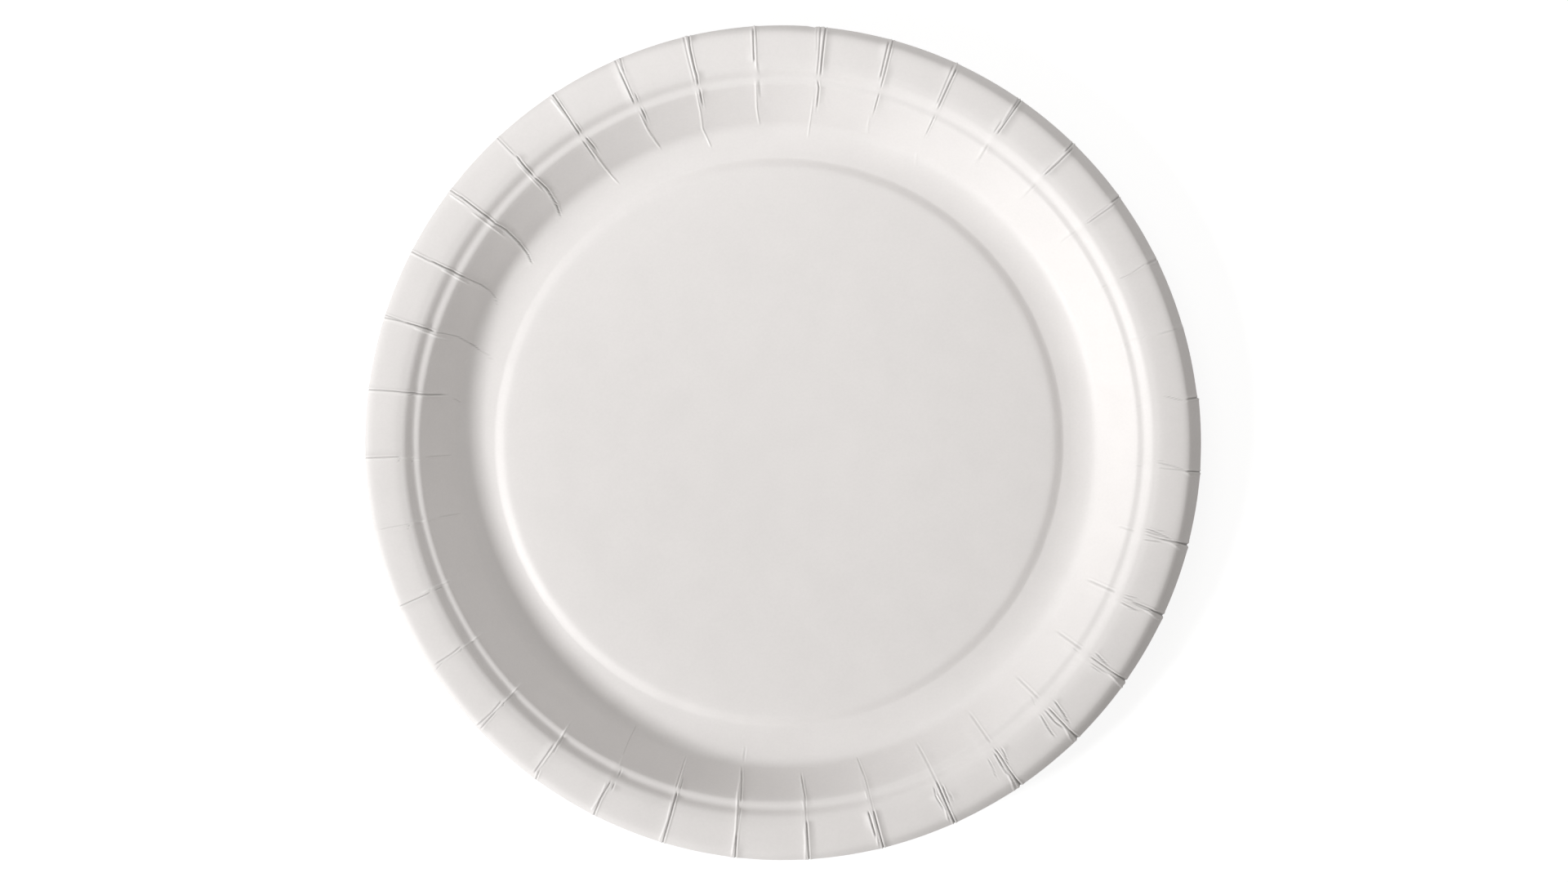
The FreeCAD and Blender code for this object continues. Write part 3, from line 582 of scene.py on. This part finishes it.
class Tree:
    """Short calls for building a node tree."""

    def __init__(self, tree):
        self.tree = tree

    def add(self, kind, *wires, **settings):
        """Adds a node, sets its settings, and joins sockets or writes values into its inputs in order."""
        made = self.tree.nodes.new(kind)
        for name, value in settings.items():
            setattr(made, name, value)
        for socket, value in zip([i for i in made.inputs if i.enabled], wires):
            self.put(value, socket)
        return made

    def put(self, value, socket):
        """Joins a socket to an input, or writes a value into it."""
        if isinstance(value, bpy.types.NodeSocket):
            self.tree.links.new(value, socket)
        elif value is not None:
            socket.default_value = value

    def ranged(self, value, span, limits):
        """Adds a Map Range node from one span of numbers to another and returns its result."""
        node = self.add("ShaderNodeMapRange", value)
        for socket, number in zip(node.inputs[1:5], (*span, *limits)):
            socket.default_value = number
        return node.outputs[0]

    def math(self, operation, *values):
        """Adds a Math node and returns its result."""
        return self.add("ShaderNodeMath", *values, operation=operation).outputs[0]


def press_tree():
    """Geometry Nodes tree: wraps the flat blank onto the section and round the axis."""
    tree = bpy.data.node_groups.new("Press the blank", "GeometryNodeTree")
    sockets = tree.interface
    sockets.new_socket("Geometry", in_out="INPUT", socket_type="NodeSocketGeometry")
    sockets.new_socket("Section", in_out="INPUT", socket_type="NodeSocketObject")
    for name in ("Board", "Pleat Height", "Slit Depth", "Pleat Height Below"):
        sockets.new_socket(name, in_out="INPUT", socket_type="NodeSocketFloat").subtype = "DISTANCE"
    sockets.new_socket("Die Shift", in_out="INPUT", socket_type="NodeSocketVector")
    sockets.new_socket("Material", in_out="INPUT", socket_type="NodeSocketMaterial")
    sockets.new_socket("Geometry", in_out="OUTPUT", socket_type="NodeSocketGeometry")
    t = Tree(tree)
    given = t.add("NodeGroupInput").outputs

    def share(name):
        """A number that the blank carries at each of its points."""
        return t.add("GeometryNodeInputNamedAttribute", name, data_type="FLOAT").outputs["Attribute"]

    # the place on the section, and the direction out of the upper face there
    shown = t.add("GeometryNodeObjectInfo", given["Section"], transform_space="ORIGINAL")
    sample = t.add("GeometryNodeSampleCurve", mode="FACTOR")
    t.put(shown.outputs["Geometry"], sample.inputs["Curves"])
    t.put(share("along"), sample.inputs["Factor"])
    tangent = t.add("ShaderNodeSeparateXYZ", sample.outputs["Tangent"]).outputs
    outward = t.add("ShaderNodeCombineXYZ", t.math("MULTIPLY", tangent["Z"], -1.0), 0.0, tangent["X"]).outputs[0]
    # how far the surface stands off the section there
    depth = share("depth")
    fold = t.math("ADD", share("ridge"), t.math("MULTIPLY", share("welt"), WELT_ABOVE))
    above = t.math("SUBTRACT", t.math("MULTIPLY", fold, given["Pleat Height"]),
                   t.math("MULTIPLY", share("slit"), given["Slit Depth"]))
    below = t.math("ADD", given["Board"], t.math("MULTIPLY", share("welt"), given["Pleat Height Below"]))
    off = t.math("SUBTRACT", t.math("MULTIPLY", above, t.math("SUBTRACT", 1.0, depth)),
                 t.math("MULTIPLY", below, depth))
    moved = t.add("ShaderNodeVectorMath", outward, operation="SCALE")
    t.put(off, moved.inputs["Scale"])
    placed = t.add("ShaderNodeVectorMath", sample.outputs["Position"], moved.outputs[0], operation="ADD").outputs[0]
    wide = t.add("ShaderNodeCombineXYZ", share("flare"), 0.0, 0.0).outputs[0]
    placed = t.add("ShaderNodeVectorMath", placed, wide, operation="ADD").outputs[0]
    # turned to the direction that the point has on the blank
    flat = t.add("ShaderNodeSeparateXYZ", t.add("GeometryNodeInputPosition").outputs[0]).outputs
    turn = t.add("ShaderNodeVectorRotate", rotation_type="Z_AXIS")
    t.put(placed, turn.inputs["Vector"])
    t.put(t.math("ARCTAN2", flat["Y"], flat["X"]), turn.inputs["Angle"])
    pressed = t.add("GeometryNodeSetPosition")
    t.put(given["Geometry"], pressed.inputs["Geometry"])
    centred = t.add("ShaderNodeVectorMath", turn.outputs[0], given["Die Shift"], operation="ADD").outputs[0]
    t.put(centred, pressed.inputs["Position"])
    real = t.add("GeometryNodeRealizeInstances", pressed.outputs[0]).outputs[0]
    finished = t.add("GeometryNodeSetMaterial")
    t.put(real, finished.inputs["Geometry"])
    t.put(given["Material"], finished.inputs["Material"])
    t.add("NodeGroupOutput", finished.outputs[0])
    return tree


def run_tree(carrier, tree, name, **inputs):
    """Applies a tree to an object and returns the result as a plain mesh object."""
    modifier = carrier.modifiers.new("tree", "NODES")
    modifier.node_group = tree
    for item in tree.interface.items_tree:
        word = item.name.replace(" ", "_").lower()
        if item.in_out == "INPUT" and word in inputs:
            modifier[item.identifier] = inputs[word]
    shown = carrier.evaluated_get(bpy.context.evaluated_depsgraph_get())
    mesh = bpy.data.meshes.new_from_object(shown)
    mesh.name = name
    piece = bpy.data.objects.new(name, mesh)
    bpy.context.collection.objects.link(piece)
    carrier.modifiers.remove(modifier)
    bpy.data.objects.remove(carrier)
    return piece


# The board's look. The cloudy tone and the fine fibres vary its colour and gloss a little. A highlight is painted
# along the folds, and shade is painted inside the slits.
CLOUD_SCALE, FIBRE_SCALE = 90.0, 1500.0
CLOUD_DETAIL, FIBRE_DETAIL = 3.0, 4.0
NOISE_SPAN = (0.3, 0.7)
TONE_LIMITS = (0.985, 1.012)
ROUGHNESS_LIMITS, BACK_ROUGHER = (0.50, 0.60), 0.3
# painted highlight along the folds of the upper face: its colour and how much of it is mixed in
FOLD_HIGHLIGHT_COLOUR, FOLD_HIGHLIGHT_SHARE = (0.95, 0.94, 0.93, 1.0), 0.7
# painted shade inside the slits: its colour and how much of it is mixed in
SLIT_SHADE_COLOUR, SLIT_SHADE_SHARE = (0.10, 0.095, 0.09, 1.0), 0.72
FIBRE_STRENGTH, FIBRE_HEIGHT = 0.25, 0.03 * MM

# The floor as the camera sees it: how much of it glows, how strongly near the plate and away from it, and between
# which distances that changes. Close under the board it glows for every ray, so that the lower face gets light.
GLOW_SHARE = 0.72
GLOW_LIMITS, GLOW_SPAN = (1.22, 1.42), (0.35, 1.2)
UNDER_SHARE, UNDER_REACH = 0.4, 5.0 * MM


def board_material(look):
    """White coated board above, bare board below, with a highlight painted along the folds and shade painted inside the
    slits.
    """
    material = bpy.data.materials.new("Coated white board")
    material.use_nodes = True
    t = Tree(material.node_tree)
    shader = material.node_tree.nodes["Principled BSDF"]
    where = t.add("ShaderNodeTexCoord").outputs["Object"]
    side = t.add("ShaderNodeAttribute", attribute_name="depth").outputs["Fac"]
    painted_shade = t.add("ShaderNodeAttribute", attribute_name="painted_shade").outputs["Fac"]
    ridge = t.add("ShaderNodeAttribute", attribute_name="ridge").outputs["Fac"]

    def noise(scale, detail):
        """A noise on the object's own coordinates."""
        node = t.add("ShaderNodeTexNoise", noise_dimensions="3D")
        t.put(where, node.inputs["Vector"])
        t.put(scale, node.inputs["Scale"])
        t.put(detail, node.inputs["Detail"])
        return node.outputs["Fac"]

    def blend(factor, first, second, kind="MIX"):
        """Two colours mixed by a factor."""
        node = t.add("ShaderNodeMix", data_type="RGBA", blend_type=kind)
        t.put(factor, node.inputs["Factor"])
        t.put(first, node.inputs[6])
        t.put(second, node.inputs[7])
        return node.outputs[2]

    clouds, fibres = noise(CLOUD_SCALE, CLOUD_DETAIL), noise(FIBRE_SCALE, FIBRE_DETAIL)
    tone = t.math("MULTIPLY", t.ranged(clouds, NOISE_SPAN, TONE_LIMITS), t.ranged(fibres, NOISE_SPAN, TONE_LIMITS))
    grey = t.add("ShaderNodeCombineColor", tone, tone, tone).outputs[0]
    plain = blend(side, (*look.face, 1.0), (*look.back, 1.0))
    clouded = blend(1.0, plain, grey, "MULTIPLY")
    on_top = t.math("SUBTRACT", FOLD_HIGHLIGHT_SHARE, t.math("MULTIPLY", side, FOLD_HIGHLIGHT_SHARE))
    # a painted highlight along the folds, on the upper face only
    highlighted_folds = blend(t.math("MULTIPLY", ridge, on_top), clouded, FOLD_HIGHLIGHT_COLOUR)
    # painted shade inside the slits
    shaded = blend(t.math("MULTIPLY", painted_shade, SLIT_SHADE_SHARE), highlighted_folds, SLIT_SHADE_COLOUR)
    t.put(shaded, shader.inputs["Base Color"])
    rougher = t.math("MULTIPLY", side, BACK_ROUGHER)
    t.put(t.math("ADD", rougher, t.ranged(clouds, NOISE_SPAN, ROUGHNESS_LIMITS)), shader.inputs["Roughness"])
    bump = t.add("ShaderNodeBump")
    bump.inputs["Strength"].default_value = FIBRE_STRENGTH
    bump.inputs["Distance"].default_value = FIBRE_HEIGHT
    t.put(fibres, bump.inputs["Height"])
    t.put(bump.outputs[0], shader.inputs["Normal"])
    return material


def seen_rays(t):
    """The Light Path outputs, and a factor that is 1 for the rays that show a surface itself or mirror it."""
    rays = t.add("ShaderNodeLightPath").outputs
    mirrored = t.math("MAXIMUM", rays["Is Glossy Ray"], rays["Is Transmission Ray"])
    return rays, t.math("MAXIMUM", rays["Is Camera Ray"], mirrored)


def floor_material():
    """Pale floor: white to the camera apart from the plate's soft shadow, and open when seen from below."""
    material = bpy.data.materials.new("Pale floor")
    material.use_nodes = True
    t = Tree(material.node_tree)
    shader = material.node_tree.nodes["Principled BSDF"]
    shader.inputs["Base Color"].default_value = (0.8, 0.8, 0.8, 1.0)
    shader.inputs["Roughness"].default_value = 0.9
    rays, seen = seen_rays(t)
    away = t.add("ShaderNodeVectorMath", t.add("ShaderNodeTexCoord").outputs["Object"], operation="LENGTH")
    glow = t.add("ShaderNodeEmission")
    t.put(t.ranged(away.outputs["Value"], GLOW_SPAN, GLOW_LIMITS), glow.inputs["Strength"])
    under = t.math("MULTIPLY", t.math("LESS_THAN", rays["Ray Length"], UNDER_REACH), UNDER_SHARE)
    shine = t.math("MAXIMUM", t.math("MULTIPLY", seen, GLOW_SHARE), under)
    top = t.add("ShaderNodeMixShader", shine, shader.outputs[0], glow.outputs[0])
    below = t.math("MULTIPLY", t.add("ShaderNodeNewGeometry").outputs["Backfacing"], rays["Is Camera Ray"])
    mixed = t.add("ShaderNodeMixShader", below, top.outputs[0], t.add("ShaderNodeBsdfTransparent").outputs[0])
    t.put(mixed.outputs[0], material.node_tree.nodes["Material Output"].inputs["Surface"])
    return material


def white_world(fill, colour):
    """Even light from all round, seen as white."""
    world = bpy.data.worlds.new("Soft room")
    world.use_nodes = True
    t = Tree(world.node_tree)
    back = world.node_tree.nodes["Background"]
    _, seen = seen_rays(t)
    back.inputs["Strength"].default_value = 1.0
    shown = t.add("ShaderNodeMix", data_type="RGBA")
    for socket, value in ((0, seen), (6, (*(fill * c for c in colour), 1.0)), (7, (1.0, 1.0, 1.0, 1.0))):
        t.put(value, shown.inputs[socket])
    t.put(shown.outputs[2], back.inputs["Color"])
    bpy.context.scene.world = world


class PLATE_OT_press(bpy.types.Operator):
    """Press the scored blank into the plate"""

    bl_idname = "plate.press"
    bl_label = "Press the plate"

    def execute(self, context):
        sizes, look = context.scene.plate_sizes, context.scene.board_look
        radius = sizes.radius / MM
        outline = section_outline()
        section = make_section(outline)
        blank = make_blank(outline, radius)
        plate = run_tree(
            blank, press_tree(), "pressed_plate", section=section, board=sizes.board,
            pleat_height=sizes.pleat_height, slit_depth=sizes.pleat_depth,
            pleat_height_below=sizes.under_height, material=board_material(look),
            die_shift=(DIE_SHIFT[0] * MM, DIE_SHIFT[1] * MM, 0.0),
        )
        bpy.data.objects.remove(section)
        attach(plate, "root")
        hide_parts("paper_plate")
        return {"FINISHED"}


class PLATE_OT_stage(bpy.types.Operator):
    """Lay the floor, set the lights and place the camera"""

    bl_idname = "plate.stage"
    bl_label = "Set the stage"

    def execute(self, context):
        look = context.scene.stage_look
        mesh = bpy.data.meshes.new("floor")
        mesh.from_pydata([(x, y, -FLOOR_GAP) for x, y in FLOOR_CORNERS], [], [(0, 1, 2, 3)])
        floor = bpy.data.objects.new("floor", mesh)
        context.collection.objects.link(floor)
        floor.data.materials.append(floor_material())
        white_world(look.fill, look.fill_colour)
        soft_light("key", azimuth=205.0, elevation=33.0, distance=2.0, width=0.3, power=look.key_power)
        soft_light("window", azimuth=100.0, elevation=55.0, distance=0.4, width=0.25, power=look.window_power)
        camera = bpy.data.objects.new("camera", bpy.data.cameras.new("camera"))
        context.collection.objects.link(camera)
        camera.location = (*CAMERA_OFF, SKIRT_HEIGHT + look.camera_height)
        camera.data.sensor_width = SENSOR_WIDTH
        camera.data.lens = PIXELS_PER_MM * SENSOR_WIDTH * (look.camera_height / MM) / PICTURE_WIDTH
        camera.data.clip_start, camera.data.clip_end = 0.05, 20.0
        context.scene.camera = camera
        context.scene.view_settings.view_transform = "Standard"
        return {"FINISHED"}


def soft_light(name, azimuth, elevation, distance, width, power):
    """A square soft light that looks at the middle of the plate."""
    lamp = bpy.data.lights.new(name, "AREA")
    lamp.shape = "SQUARE"
    lamp.size = width
    lamp.energy = power
    light = bpy.data.objects.new(name, lamp)
    bpy.context.collection.objects.link(light)
    a, e = math.radians(azimuth), math.radians(elevation)
    away = Vector((math.cos(a) * math.cos(e), math.sin(a) * math.cos(e), math.sin(e)))
    light.location = away * distance
    light.rotation_euler = away.to_track_quat("Z", "Y").to_euler()
    return light


class PLATE_PT_panel(bpy.types.Panel):
    """Sizes, colours and the steps, in the sidebar"""

    bl_label = "Paper plate"
    bl_idname = "PLATE_PT_panel"
    bl_space_type = "VIEW_3D"
    bl_region_type = "UI"
    bl_category = "Paper plate"

    def draw(self, context):
        """Lists the settings and the two steps."""
        column = self.layout.column()
        for group in (context.scene.plate_sizes, context.scene.board_look, context.scene.stage_look):
            for name in group.__annotations__:
                column.prop(group, name)
        column.operator("plate.press")
        column.operator("plate.stage")


CLASSES = (PlateSizes, BoardLook, StageLook, PLATE_OT_press, PLATE_OT_stage, PLATE_PT_panel)
GROUPS = {"plate_sizes": PlateSizes, "board_look": BoardLook, "stage_look": StageLook}


def register():
    """Registers the classes and hangs their groups of settings on the scene."""
    for item in CLASSES:
        bpy.utils.register_class(item)
    for name, group in GROUPS.items():
        setattr(bpy.types.Scene, name, PointerProperty(type=group))


def unregister():
    """Takes the settings and classes away again."""
    for name in GROUPS:
        delattr(bpy.types.Scene, name)
    for item in reversed(CLASSES):
        bpy.utils.unregister_class(item)


def main():
    """Makes the plate and the stage."""
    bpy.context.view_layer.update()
    register()
    bpy.ops.plate.press()
    bpy.ops.plate.stage()


if __name__ == "__main__":
    main()
